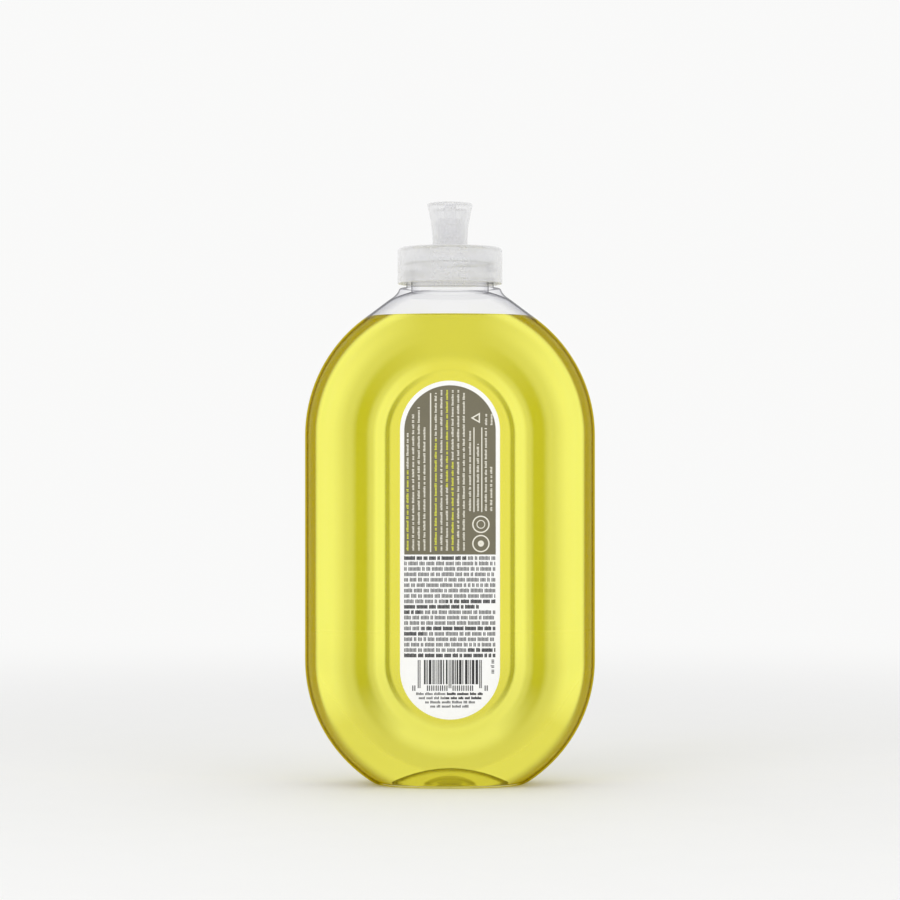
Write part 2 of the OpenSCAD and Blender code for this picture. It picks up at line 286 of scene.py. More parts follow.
def ring_reach(angle, z, inset):
    """How far the ring form reaches from the Z axis at a height, in the direction of an angle."""
    rise = z - held(z, low_arc(), high_arc())
    near, far = 0.0, ARC_RADIUS
    for _ in range(HALVINGS):
        reach = (near + far) / 2
        distance = math.hypot(reach * math.cos(angle), rise)
        inside = distance < ARC_RADIUS - inset
        if inside and abs(reach * math.sin(angle)) < ring_depth(distance, inset):
            near = reach
        else:
            far = reach
    return near


def oval_reach(angle, half_width, half_deep):
    """How far an oval reaches from its centre in the direction of an angle."""
    across = half_deep * math.cos(angle)
    along = half_width * math.sin(angle)
    return half_width * half_deep / math.hypot(across, along)


# Modelling steps, all on the active object in edit mode

def only(*objects):
    """Selects these objects alone and makes the first one active."""
    if bpy.context.object and bpy.context.object.mode != "OBJECT":
        bpy.ops.object.mode_set(mode="OBJECT")
    bpy.ops.object.select_all(action="DESELECT")
    for obj in objects:
        obj.select_set(True)
    if objects:
        bpy.context.view_layer.objects.active = objects[0]


def take_all():
    bpy.ops.mesh.select_all(action="SELECT")


def extrude_edges(step=(0, 0, 0)):
    bpy.ops.mesh.extrude_edges_move(TRANSFORM_OT_translate={"value": step})


def edit(kind="VERT"):
    bpy.ops.object.mode_set(mode="EDIT")
    bpy.ops.mesh.select_mode(type=kind)
    bpy.ops.mesh.select_all(action="DESELECT")


def finished(name):
    """Leaves edit mode with the active mesh named and its transform applied, and returns its
    object.
    """
    if bpy.context.object.mode != "OBJECT":
        bpy.ops.object.mode_set(mode="OBJECT")
    obj = bpy.context.object
    obj.name = name
    obj.data.name = name
    bpy.ops.object.transform_apply(location=True, rotation=True, scale=True)
    return obj


def pick(test, kind="VERT"):
    """Selects just the vertices, edges or faces for which the test holds."""
    mesh = bmesh.from_edit_mesh(bpy.context.object.data)
    bpy.ops.mesh.select_mode(type=kind)
    bpy.ops.mesh.select_all(action="DESELECT")
    items = {"VERT": mesh.verts, "EDGE": mesh.edges, "FACE": mesh.faces}[kind]
    for item in items:
        if test(item):
            item.select_set(True)
    mesh.select_flush(True)
    bmesh.update_edit_mesh(bpy.context.object.data)


def move_picked(place):
    """Moves each selected vertex to place(its position)."""
    mesh = bmesh.from_edit_mesh(bpy.context.object.data)
    for vert in mesh.verts:
        if vert.select:
            vert.co = place(vert.co.copy())
    bmesh.update_edit_mesh(bpy.context.object.data)


def outline(points, closed=False):
    """Starts a mesh as a chain of edges, extruded from one vertex, and stays in edit mode."""
    only()
    bpy.ops.mesh.primitive_plane_add(size=MM)
    edit()
    take_all()
    bpy.ops.mesh.merge(type="CENTER")
    bpy.ops.transform.translate(value=points[0])
    for a, b in zip(points, points[1:]):
        step = Vector(b) - Vector(a)
        bpy.ops.mesh.extrude_vertices_move(TRANSFORM_OT_translate={"value": step})
    if closed:
        pick(lambda v: len(v.link_edges) == 1)
        bpy.ops.mesh.edge_face_add()
    take_all()


def close_up(gap=0.002 * MM):
    """Merges doubled vertices and turns every face outwards."""
    take_all()
    bpy.ops.mesh.remove_doubles(threshold=gap)
    bpy.ops.mesh.normals_make_consistent(inside=False)
    if bmesh.from_edit_mesh(bpy.context.object.data).calc_volume(signed=True) < 0:
        bpy.ops.mesh.flip_normals()


def lathe(name, section, steps=128):
    """A turned piece: a half section of (radius, height), closed or ending on the Z axis, spun."""
    outline([(r, 0, z) for r, z in section], closed=section[0][0] > 0)
    bpy.ops.mesh.spin(steps=steps, angle=2 * math.pi, center=(0, 0, 0), axis=(0, 0, 1))
    close_up()
    return finished(name)


def arc(centre, radius, start, end, steps):
    """Points on an arc, by angles in degrees, as (radius, height)."""
    angles = [math.radians(mix(start, end, i / steps)) for i in range(steps + 1)]
    return [(centre[0] + radius * math.cos(a), centre[1] + radius * math.sin(a)) for a in angles]


def smooth_by_angle(obj, degrees=35):
    only(obj)
    bpy.ops.object.shade_smooth_by_angle(angle=math.radians(degrees))


def apply_all(obj):
    only(obj)
    for modifier in list(obj.modifiers):
        bpy.ops.object.modifier_apply(modifier=modifier.name)


def join(name, *objects):
    only(*objects)
    bpy.ops.object.join()
    return finished(name)


# The body's skins: the outer and inner face of the bottle and the face of the cleaner

SPIN_STEPS = 60
STRAIGHT_STEPS = 10
TOP_CUT = 171.2 * MM
SECTION_STEP = 0.8 * MM
SHOULDER_SINK = 1.2
SHOULDER_BLEND = 1.0 * MM
OVAL_ALONE = 4 * MM


def profile_distances(inset):
    """Distances from the centre line of the profile's points, closer together at each bend."""
    edge = body().panel_radius + inset
    lean = body().panel_lean
    floor = [0, edge * 0.4, edge * 0.75, edge - 1.6 * MM]
    foot = [edge + share * MM for share in (-0.7, -0.4, -0.2, 0, 0.2, 0.4)]
    crest = [edge + lean * share for share in (0.24, 0.34, 0.42, 0.48, 0.54, 0.6, 0.68, 0.8, 1.0)]
    ring = [mix(edge + lean * 1.35, RING_CENTRE, share) for share in (0, 0.35, 0.7)]
    radius = RING_RADIUS - inset
    crown = [RING_CENTRE + radius * math.sin(math.radians(a)) for a in range(0, 91, 5)]
    return floor + foot + crest + ring + crown


def settle(inset):
    """Shifts the panel's loops to its own end arcs and sets every vertex at the right depth."""
    low, high = low_arc(), high_arc()
    panel_low, panel_high = panel_arcs()
    loose = body().panel_radius + body().panel_lean

    def place(co):
        distance = pill_distance(co.x, co.z, low, high)
        share = 1 - held((distance - loose) / (RING_CENTRE - loose))
        along = held((co.z - low) / (high - low))
        co.z += share * mix(panel_low - low, panel_high - high, along)
        if distance < ARC_RADIUS - inset - TINY:
            co.y = math.copysign(half_depth(co.x, co.z, inset), co.y)
        return co

    take_all()
    move_picked(place)


def ring_skin(inset):
    """The whole pill-shaped ring with its panels: a profile swept round both arcs."""
    distances = profile_distances(inset)
    low, high = low_arc(), high_arc()
    front = [(d, -max(half_depth(d, low, inset), TINY), low) for d in distances[:-1]]
    back = [(x, -y, z) for x, y, z in reversed(front)]
    outline(front + [(distances[-1], 0, low)] + back)
    turn = {"angle": math.pi, "axis": (0, 1, 0), "steps": SPIN_STEPS}
    step = (high - low) / STRAIGHT_STEPS
    for rise, centre in ((step, high), (-step, low)):
        for _ in range(STRAIGHT_STEPS):
            extrude_edges((0, 0, rise))
        bpy.ops.mesh.spin(center=(0, 0, centre), **turn)
    close_up(0.01 * MM)
    settle(inset)


def cut_open(height, keep_above):
    """Cuts the skin level at a height, removes one side and selects the open rim."""
    take_all()
    bpy.ops.mesh.bisect(
        plane_co=(0, 0, height),
        plane_no=(0, 0, 1),
        clear_inner=keep_above,
        clear_outer=not keep_above,
        threshold=0.02 * MM,
    )
    near = lambda v: abs(v.co.z - height) < 0.1 * MM
    pick(lambda e: e.is_boundary and all(near(v) for v in e.verts), "EDGE")


def extend(sections):
    """Extrudes the selected rim through sections, each (height, reach by angle)."""
    for height, reach in sections:
        extrude_edges()

        def place(co, height=height, reach=reach):
            angle = math.atan2(co.y, co.x)
            r = reach(angle)
            return Vector((r * math.cos(angle), r * math.sin(angle), height(angle, r)))

        move_picked(place)


def level(height):
    return lambda angle, reach: height


def heights():
    """Main heights of the shoulder and neck."""
    lip = high_arc() + ARC_RADIUS + neck().lip_rise
    foot = lip - neck().collar_height
    start = high_arc() + math.sqrt(ARC_RADIUS**2 - (neck().shoulder_width / 2) ** 2)
    return start, foot, lip


def shoulder_oval(z, inset):
    """Half-width and half-depth of the shoulder at a height, up to the collar's lip."""
    start, foot, lip = heights()
    top = lip - neck().lip_round
    wide, mid = neck().shoulder_width / 2, neck().collar_foot / 2
    tight = neck().collar_width / 2
    deep = mix(ring_depth(start - high_arc(), 0), tight, held((z - start) / (top - start)))
    if z <= foot:
        half = mix(wide, mid, held((z - start) / (foot - start)))
    else:
        share = (z - foot) / (top - foot)
        bend = mix(mid, tight, 0.75)
        half = mix(mix(mid, bend, share), mix(bend, tight, share), share**0.9)
    sink = max(start - z, 0) * SHOULDER_SINK
    return half - sink - inset, deep - sink - inset


def shoulder_reach(z, inset):
    """Reach by angle of the outer form at a height above the cut, body and shoulder blended."""
    half, deep = shoulder_oval(z, inset)

    def reach(angle):
        oval = oval_reach(angle, half, deep)
        if z > high_arc() + ARC_RADIUS - OVAL_ALONE:
            return oval
        soft = SHOULDER_BLEND * (0.25 + 0.75 * abs(math.sin(angle)))
        return soft_max(oval, ring_reach(angle, z, inset), soft)

    return reach


def spaced(start, end, step):
    count = max(round((end - start) / step), 1)
    return [mix(start, end, (i + 1) / count) for i in range(count)]


def shoulder_sections(inset, top):
    """Sections from the cut up to a height."""
    return [(level(z), shoulder_reach(z, inset)) for z in spaced(TOP_CUT, top, SECTION_STEP)]


def circle(radius):
    return lambda angle: radius


def turned_sections(points):
    return [(level(z), circle(r)) for r, z in points]


def base_sections(inset):
    """Sections from the heel's cut round the heel, over the base and up the push-up's dome."""
    heel = body().heel
    half = body().push_up_width / 2
    squeeze = body().push_up_depth / body().push_up_width
    rise = body().push_up_height
    dome = (half**2 + rise**2) / (2 * rise)
    centre = rise - dome
    dome += inset
    half = math.sqrt(dome**2 - (inset - centre) ** 2)

    def heel_reach(height, back):
        return lambda angle: ring_reach(angle, height, inset) - back

    def dome_reach(share):
        return lambda angle: oval_reach(angle, half, half * squeeze) * share

    def foot_reach(angle):
        return mix(heel_reach(inset, heel)(angle), dome_reach(1)(angle), 0.85)

    sections = []
    for a in range(15, 91, 15):
        turn = math.radians(a)
        z = inset + heel * (1 - math.sin(turn))
        sections.append((level(z), heel_reach(z, heel * (1 - math.cos(turn)))))
    sections += [(level(inset), foot_reach), (level(inset), dome_reach(1))]
    for share in (0.97, 0.92, 0.84, 0.74, 0.62, 0.5, 0.36, 0.2, 0.06):
        z = math.sqrt(dome**2 - (half * share) ** 2) + centre
        sections.append((level(z), dome_reach(share)))
    return sections


def close_pole():
    """Draws the selected rim together into one closing vertex."""
    extrude_edges()
    bpy.ops.mesh.merge(type="CENTER")


def body_skin(inset):
    """The ring form with its base closed and its top open and selected."""
    ring_skin(inset)
    cut_open(body().heel + inset, keep_above=True)
    extend(base_sections(inset))
    close_pole()
    cut_open(TOP_CUT, keep_above=False)


def neck_points():
    """Outer line of the collar's lip, the neck and its rim, as (radius, height)."""
    lip = heights()[2]
    round_r = neck().lip_round
    lip_r = neck().collar_width / 2
    neck_r = neck().neck_width / 2
    top = bottle_high.z
    fillet, rim = 0.7 * MM, 0.5 * MM
    points = arc((lip_r - round_r, lip - round_r), round_r, 15, 90, 5)
    points += [(mix(lip_r - round_r, neck_r + fillet, 0.6), lip)]
    points += arc((neck_r + fillet, lip + fillet), fillet, -90, -180, 5)
    points += [(neck_r, z) for z in spaced(lip + fillet, top - rim, 2 * MM)]
    points += arc((neck_r - rim, top - rim), rim, 15, 90, 5)
    bore = neck_r - neck().neck_wall
    return points + arc((bore + rim, top - rim), rim, 90, 180, 5)


def throat_points():
    """Inner line of the neck, from the shoulder's inside up the bore to below its mouth."""
    _, foot, lip = heights()
    bore = neck().neck_width / 2 - neck().neck_wall
    wide = neck().collar_foot / 2 - body().wall
    bend, mouth = lip - 1.4 * MM, bottle_high.z - 1.5 * MM
    slope = [(mix(wide, bore, s), mix(foot, bend, s**0.8)) for s in (0.3, 0.6, 0.85, 1)]
    return slope + [(bore, z) for z in spaced(bend, mouth, 2 * MM)]


THREAD_STEPS = 96
THREAD_FADE = 7


def turn_about_z(angle):
    """Turns the selected vertices about the Z axis."""
    cosine, sine = math.cos(angle), math.sin(angle)
    move_picked(lambda co: Vector((co.x * cosine - co.y * sine, co.x * sine + co.y * cosine, co.z)))


def thread(name, root, crest, z, start):
    """A thread's ridge as a swept section whose ends sink back into the wall."""
    turns = neck().thread_turns
    foot, tip = neck().thread_foot / 2, neck().thread_crest / 2
    steps = round(turns * THREAD_STEPS)
    outline([(root, 0, -foot), (crest, 0, -tip), (crest, 0, tip), (root, 0, foot)], closed=True)
    bpy.ops.object.mode_set(mode="OBJECT")
    obj = bpy.context.object
    ridge = obj.modifiers.new("Ridge", "SCREW")
    ridge.angle = 2 * math.pi * turns
    ridge.screw_offset = neck().thread_pitch * turns
    ridge.steps = ridge.render_steps = steps
    ridge.use_merge_vertices = False
    apply_all(obj)
    for index, vert in enumerate(obj.data.vertices):
        place = index // 4
        share = held(min(place, steps - place) / THREAD_FADE)
        radius = math.hypot(vert.co.x, vert.co.y)
        scale = mix(root, radius, share) / radius
        vert.co.x *= scale
        vert.co.y *= scale
    bpy.ops.object.mode_set(mode="EDIT")
    take_all()
    bpy.ops.transform.translate(value=(0, 0, z))
    turn_about_z(start)
    pick(lambda e: e.is_boundary, "EDGE")
    bpy.ops.mesh.edge_face_add()
    close_up(0.001 * MM)
    return finished(name)


def neck_thread_height():
    drop = neck().thread_foot / 2 + neck().thread_lead
    return bottle_high.z - drop - neck().thread_pitch * neck().thread_turns


# Node helpers

def material(name):
    """A new material with its nodes; returns it with its tree and Principled node."""
    mat = bpy.data.materials.new(name)
    mat.use_nodes = True
    tree = mat.node_tree
    return mat, tree, tree.nodes["Principled BSDF"]


def put(tree, node, inputs):
    """Sets a node's inputs, by place or name, from values or output sockets."""
    for key, value in inputs.items():
        if isinstance(value, bpy.types.NodeSocket):
            tree.links.new(value, node.inputs[key])
        else:
            node.inputs[key].default_value = value
    return node


def add(tree, kind, *values, **inputs):
    """A node of a kind, with its inputs set in order or by name."""
    return put(tree, tree.nodes.new(kind), {**dict(enumerate(values)), **inputs})


def sum_node(tree, operation, *values):
    """The output of a Math node."""
    node = add(tree, "ShaderNodeMath", *values)
    node.operation = operation
    return node.outputs[0]


def times(tree, a, b):
    return sum_node(tree, "MULTIPLY", a, b)


def length_of(tree, vector):
    node = add(tree, "ShaderNodeVectorMath", vector)
    node.operation = "LENGTH"
    return node.outputs["Value"]


def object_xyz(tree):
    coordinates = tree.nodes.new("ShaderNodeTexCoord").outputs["Object"]
    return coordinates, add(tree, "ShaderNodeSeparateXYZ", coordinates).outputs


def light_path(tree, *rays):
    """1 for any of some kinds of ray and 0 for the others."""
    path = tree.nodes.new("ShaderNodeLightPath").outputs
    found = path[rays[-1]]
    for ray in reversed(rays[:-1]):
        found = sum_node(tree, "MAXIMUM", path[ray], found)
    return found


def ramp(tree, fac, stops, interpolation="EASE"):
    """A colour ramp with stops of (place, colour)."""
    node = add(tree, "ShaderNodeValToRGB", fac)
    node.color_ramp.interpolation = interpolation
    elements = node.color_ramp.elements
    while len(elements) > 1:
        elements.remove(elements[-1])
    elements[0].position = stops[0][0]
    elements[0].color = (*stops[0][1], 1)
    for place, shade in stops[1:]:
        elements.new(place).color = (*shade, 1)
    return node.outputs["Color"]


def mix_colour(tree, fac, a, b, blend="MIX"):
    """A mix of two colours, each an output socket or red, green and blue."""
    node = tree.nodes.new("ShaderNodeMix")
    node.data_type = "RGBA"
    node.blend_type = blend
    a, b = (v if isinstance(v, bpy.types.NodeSocket) else (*v, 1) for v in (a, b))
    put(tree, node, {0: fac, 6: a, 7: b})
    return node.outputs[2]


def dimmed(tree, shade, factor):
    """A colour whose red, green and blue are multiplied by one value."""
    grey = add(tree, "ShaderNodeCombineColor", factor, factor, factor).outputs[0]
    return mix_colour(tree, 1.0, shade, grey, "MULTIPLY")


def noise(tree, vector, scale, detail=3.0):
    return add(tree, "ShaderNodeTexNoise", Vector=vector, Scale=scale, Detail=detail,
               Roughness=0.5).outputs[0]


def bump(tree, height, strength, distance):
    node = add(tree, "ShaderNodeBump", Strength=strength, Distance=distance, Height=height)
    return node.outputs[0]


def to_range(tree, value, low, high, out_low=0.0, out_high=1.0):
    return add(tree, "ShaderNodeMapRange", value, low, high, out_low, out_high).outputs[0]


def part_way(tree, share, start, end):
    return to_range(tree, share, 0.0, 1.0, start, end)


def wander(tree, vector, scale, low, high, edge=0.3):
    """A value that drifts softly between two others over the surface."""
    return to_range(tree, noise(tree, vector, scale), edge, 1 - edge, low, high)


def blended(tree, share, a, b):
    return add(tree, "ShaderNodeMixShader", share, a, b).outputs[0]


def show(tree, shader, kind="OUTPUT_MATERIAL"):
    """Makes a shader what the material, or the world, shows."""
    tree.links.new(shader, next(n for n in tree.nodes if n.type == kind).inputs["Surface"])


def pill_field(tree):
    """Height, distance from the body's centre line and how sideways the way from it points."""
    coordinates, (x, _, z) = object_xyz(tree)
    nearest = sum_node(tree, "MINIMUM", sum_node(tree, "MAXIMUM", z, low_arc()), high_arc())
    rise = sum_node(tree, "SUBTRACT", z, nearest)
    square = sum_node(tree, "ADD", times(tree, x, x), times(tree, rise, rise))
    distance = sum_node(tree, "SQRT", square)
    sideways = sum_node(tree, "DIVIDE", sum_node(tree, "ABSOLUTE", x),
                        sum_node(tree, "MAXIMUM", distance, MM))
    return coordinates, z, distance, sideways


def arched(tree, half_wide, height):
    """How high a point lies under an arch, from 0 at its foot to 1 on its line."""
    _, (x, _, z) = object_xyz(tree)
    across = sum_node(tree, "POWER", sum_node(tree, "DIVIDE", x, half_wide), 2.0)
    return sum_node(tree, "ADD", across, sum_node(tree, "DIVIDE", z, height))


def push_up_field(tree):
    """1 on the hollow pushed up into the base, and 0 elsewhere."""
    _, (x, y, z) = object_xyz(tree)
    out = add(tree, "ShaderNodeCombineXYZ",
              sum_node(tree, "DIVIDE", x, body().push_up_width / 2),
              sum_node(tree, "DIVIDE", y, body().push_up_depth / 2)).outputs[0]
    low = sum_node(tree, "LESS_THAN", z, body().push_up_height + 2 * MM)
    return times(tree, low, sum_node(tree, "LESS_THAN", length_of(tree, out), 1.02))


# Materials

INNER_ARCH = 14 * MM, 4.3 * MM


def hollow_surface(tree):
    """Clear, straight sight through the hollow, with its two arches drawn in lines of painted shade
    and painted light over the cleaner's tint.
    """
    c = shades()
    outer = arched(tree, body().push_up_width / 2, body().push_up_height + 0.8 * MM)
    inner = arched(tree, *INNER_ARCH)
    wide = ramp(tree, outer, [(0.5, c.hollow_painted_light), (0.8, c.hollow_painted_light), (0.9, c.hollow),
                              (0.97, c.hollow_painted_shade)])
    small = ramp(tree, inner, [
        (0.1, c.hollow_painted_light), (0.25, c.hollow), (0.5, c.hollow_painted_shade), (0.56, c.hollow_painted_light),
        (0.62, c.hollow), (0.9, c.hollow_painted_shade), (0.95, c.hollow_painted_light),
    ])
    tint = mix_colour(tree, to_range(tree, inner, 0.96, 1.0), small, wide)
    return add(tree, "ShaderNodeBsdfTransparent", Color=tint).outputs[0]


def cleaner_bands(tree):
    """The cleaner's colour with painted light and shade in bands by distance from the centre line,
    and the material's coordinates.
    """
    c = shades()
    coordinates, z, distance, sideways = pill_field(tree)
    place = sum_node(tree, "DIVIDE", distance, ARC_RADIUS)

    def bands(*stops):
        """A ramp with its stops' places in millimetres from the centre line."""
        return ramp(tree, place, [(mm * MM / ARC_RADIUS, shade) for mm, shade in stops])

    bright, crown, panel, edge = c.cleaner_painted_light, c.cleaner_crown_depth_and_shade, c.cleaner_panel, c.cleaner_edge_painted_shade
    wall, low = c.cleaner_wall_painted_shade, c.cleaner_low_depth_and_shade
    between = [mix(a, b, 0.4) for a, b in zip(crown, bright)]
    rim = [value * 1.3 for value in edge]
    # Painted shade at the outer edge, a little lighter right at the silhouette.
    olive = (51.6, bright), (53.1, edge), (54.8, edge), (57.5, rim)
    # At the sides: the panel's tint, painted shade at the panel's wall, bands of painted light, and
    # the crown, deeper where thickest and darkened with painted shade.
    side = bands(
        (23, panel), (24, wall), (25, wall), (25.8, bright), (28.5, bright), (30.5, between),
        (33, crown), (36, crown), (39.5, between), (46.5, bright), *olive,
    )
    # Over the top the crown's band is painted darker, and under the bottom a band of painted light
    # lies outside the panel.
    top = bands((23, panel), (27, panel), (32, c.cleaner_top_depth_and_shade), (48, c.cleaner_top_depth_and_shade), *olive)
    bottom = bands((23, panel), (26, bright), (32, bright), (38, low), (50, low), (54.5, edge))
    upper = mix_colour(tree, to_range(tree, sideways, 0.22, 0.95), top, side)
    inner = to_range(tree, sideways, 0.55, 0.97)
    outer = to_range(tree, sideways, 0.86, 0.99)
    outwards = to_range(tree, distance, 36 * MM, 42 * MM)
    share = put(tree, tree.nodes.new("ShaderNodeMix"), {0: outwards, 2: inner, 3: outer}).outputs[0]
    lower = mix_colour(tree, share, bottom, side)
    high = sum_node(tree, "GREATER_THAN", z, (low_arc() + high_arc()) / 2)
    return coordinates, mix_colour(tree, high, lower, upper)


def cleaner_material():
    """Yellow cleaner, clear, with painted light and shade: bright bands, a crown that is deeper and
    painted darker, and painted olive shade at its outer edge.
    """
    mat, tree, shader = material("cleaner")
    coordinates, tint = cleaner_bands(tree)
    tint = dimmed(tree, tint, wander(tree, coordinates, 18.0, 0.97, 1.03))
    facing = tree.nodes.new("ShaderNodeNewGeometry").outputs["Backfacing"]
    put(tree, shader, {
        "Base Color": mix_colour(tree, facing, tint, (0.99, 0.985, 0.5)),
        "Transmission Weight": 1.0,
        "Roughness": 0.01,
        "IOR": 1.1,
        "Specular IOR Level": 0.1,
    })
    light = add(tree, "ShaderNodeBsdfTransparent", Color=(0.93, 0.9, 0.5, 1)).outputs[0]
    seen = blended(tree, push_up_field(tree), shader.outputs[0], hollow_surface(tree))
    show(tree, blended(tree, light_path(tree, "Is Shadow Ray"), seen, light))
    return mat


def clear_plastic_material():
    """Blown clear plastic: a thin wall that lets sight straight through and shines at its edges,
    with painted shade darkening it towards its silhouettes.
    """
    mat, tree, shader = material("clear_bottle")
    coordinates, (_, _, z) = object_xyz(tree)
    facing = add(tree, "ShaderNodeLayerWeight", Blend=0.5).outputs["Facing"]
    empty = to_range(tree, z, cleaner_high.z - 2 * MM, cleaner_high.z)
    # Painted shade: mostly above the cleaner, the wall's see-through colour darkens towards the
    # silhouette for a dark outline, partly the longer way through the wall.
    bare_wall_edge_shade = ramp(tree, facing, [
        (0, (0.99, 0.99, 0.99)), (0.35, (0.985, 0.985, 0.99)), (0.55, (0.94, 0.94, 0.95)),
        (0.76, (0.91, 0.91, 0.925)), (0.84, (0.5, 0.5, 0.52)), (1, (0.3, 0.3, 0.32)),
    ], "LINEAR")
    wall = mix_colour(tree, part_way(tree, empty, 0.15, 1.0), (0.995, 0.995, 0.995), bare_wall_edge_shade)
    wet = times(tree, to_range(tree, facing, 0.7, 0.78), sum_node(tree, "SUBTRACT", 1.0, empty))
    wet = times(tree, wet, part_way(tree, push_up_field(tree), 1.0, 0.1))
    wall = mix_colour(tree, wet, wall, shades().wet_rim)
    through = add(tree, "ShaderNodeBsdfTransparent", Color=wall).outputs[0]
    gloss = add(
        tree, "ShaderNodeBsdfGlossy", Color=(0.6, 0.6, 0.61, 1),
        Roughness=wander(tree, coordinates, 60.0, 0.02, 0.05),
        Normal=bump(tree, noise(tree, coordinates, 22.0, 1.0), 0.05, 0.4 * MM),
    ).outputs[0]
    shine = sum_node(tree, "MULTIPLY_ADD", sum_node(tree, "POWER", facing, 5.0),
                     part_way(tree, empty, 0.04, 0.6), part_way(tree, empty, 0.008, 0.03))
    back = tree.nodes.new("ShaderNodeNewGeometry").outputs["Backfacing"]
    show(tree, blended(tree, times(tree, shine, part_way(tree, back, 1.0, 0.15)), through, gloss))
    tree.nodes.remove(shader)
    return mat


def natural_plastic_material(name, shade, milk):
    """Natural, milky plastic that lets soft light and the shapes inside through."""
    mat, tree, shader = material(name)
    coordinates, _ = object_xyz(tree)
    put(tree, shader, {
        "Base Color": dimmed(tree, shade, wander(tree, coordinates, 140.0, 0.985, 1.01, 0.35)),
        "Roughness": wander(tree, coordinates, 300.0, 0.25, 0.29),
        "IOR": 1.5,
    })
    facing = add(tree, "ShaderNodeLayerWeight", Blend=0.5).outputs["Facing"]
    share = to_range(tree, sum_node(tree, "POWER", facing, 2.0), 0.0, 0.8, milk, 0.92)
    light = light_path(tree, "Is Shadow Ray", "Is Diffuse Ray")
    share = times(tree, share, part_way(tree, light, 1.0, 0.45))
    through = add(tree, "ShaderNodeBsdfTransparent", Color=(0.965, 0.965, 0.97, 1)).outputs[0]
    show(tree, blended(tree, share, through, shader.outputs[0]))
    return mat


def foam_material():
    """Matte foam with fine cells."""
    mat, tree, shader = material("liner_foam")
    cells = noise(tree, object_xyz(tree)[0], 2600.0)
    dark, pale = ([v * s for v in shades().seal] for s in (0.88, 1.04))
    put(tree, shader, {
        "Base Color": mix_colour(tree, cells, dark, pale),
        "Roughness": 0.8,
        "Normal": bump(tree, cells, 0.4, 0.1 * MM),
    })
    return mat


def film_material(name, shade, grain=0.015):
    """Satin printed film, with a faint mottle in its ink and a fine calendered grain."""
    mat, tree, shader = material(name)
    coordinates, _ = object_xyz(tree)
    dark, pale = ([held(v * s) for v in shade] for s in (1 - grain * 2, 1 + grain))
    put(tree, shader, {
        "Base Color": mix_colour(tree, noise(tree, coordinates, 420.0), dark, pale),
        "Roughness": wander(tree, coordinates, 1800.0, 0.29, 0.4),
        "Normal": bump(tree, noise(tree, coordinates, 3000.0), 0.05, 0.02 * MM),
    })
    return mat


# The label's print, as thin plates on the film

FILM_SINK = 0.03 * MM
INK = 0.02 * MM
PRINT_FACE = label_low.y - INK / 2
FIELD_BORDER = 1.65 * MM
PLATE_STEPS = 192
TALL_SHARE = 0.3
BOLDER = 0.2
# Bars, each (x centre, z centre, width, height) in millimetres
RULES = ((-7.57, 123.6, 0.5, 62.0), (9.35, 124.7, 0.42, 33.0), (12.4, 124.7, 0.42, 33.0))
FRONT_BARS = ((0, 137, 22, 3.4), (0, 130, 15, 2.2), (0, 119.5, 9, 1))
FRONT_LINES = [(0, 50 - 2.6 * row, width, 0.9) for row, width in enumerate((20, 16, 18, 12))]
# Rings, each (x, z, radius, line) in millimetres, and the steps of a triangle
REAR_RINGS = ((12.05, 103.4, 3.4, 0.52), (12.05, 95.9, 3.4, 0.52), (12.05, 103.4, 1.7, 0.35),
              (12.05, 95.9, 1.2, 1.1), (10.5, 144.9, 2.4, 1.0, 3))
FRONT_RINGS = ((-2.5, 86, 9.5, 9.4), (8, 68, 6, 1.2), (-7, 64, 3.6, 3.5), (9.5, 99, 3.4, 0.9))
# The bar code's guard bars, its ends and the pairs of short bars under it
GUARDS = (-12.4, -11.7, -0.35, 0.35, 11.6, 12.2)
CODE_START, CODE_END = -12.6, 12.4
PAIRS = (-14.1, *(-8.4 + 1.7 * i for i in range(5)), *(1.6 + 1.7 * i for i in range(5)), 14.1)


def pill_plate(name, half_width, low, high, back, front, cut=None):
    """A thin pill-shaped plate in XZ between two depths, which may be cut off at a height."""
    only()
    bpy.ops.mesh.primitive_circle_add(vertices=PLATE_STEPS, radius=half_width, fill_type="NGON",
                                      rotation=(math.pi / 2, 0, 0))
    bpy.ops.object.transform_apply(rotation=True)
    edit()
    lower, upper = low + half_width, high - half_width
    take_all()
    move_picked(lambda co: Vector((co.x, back, co.z + (upper if co.z > TINY else lower))))
    if cut is not None:
        take_all()
        bpy.ops.mesh.bisect(plane_co=(0, back, cut), plane_no=(0, 0, 1), clear_inner=True)
        pick(lambda e: all(abs(v.co.z - cut) < TINY * 10 for v in e.verts), "EDGE")
    bpy.ops.mesh.select_mode(type="FACE")
    take_all()
    bpy.ops.mesh.extrude_region_move(TRANSFORM_OT_translate={"value": (0, front - back, 0)})
    close_up()
    return finished(name)


def field(name, top_border, foot):
    """The printed field over the upper part of a label, down to its foot."""
    obj = pill_plate(name, label_high.x - FIELD_BORDER, label_low.z + FIELD_BORDER,
                     label_high.z - top_border, label_low.y + INK, PRINT_FACE, cut=foot)
    smooth_by_angle(obj)
    return obj


def bars(name, boxes):
    """One mesh of thin bars, each (x centre, z centre, width, height), on the film's face."""
    only()
    bpy.ops.mesh.primitive_cube_add(size=MM)
    edit()
    take_all()
    bpy.ops.mesh.delete(type="VERT")
    for x, z, width, high in boxes:
        bpy.ops.mesh.primitive_cube_add(size=1, location=(x * MM, PRINT_FACE, z * MM),
                                        scale=(width * MM, INK, high * MM))
    return finished(name)


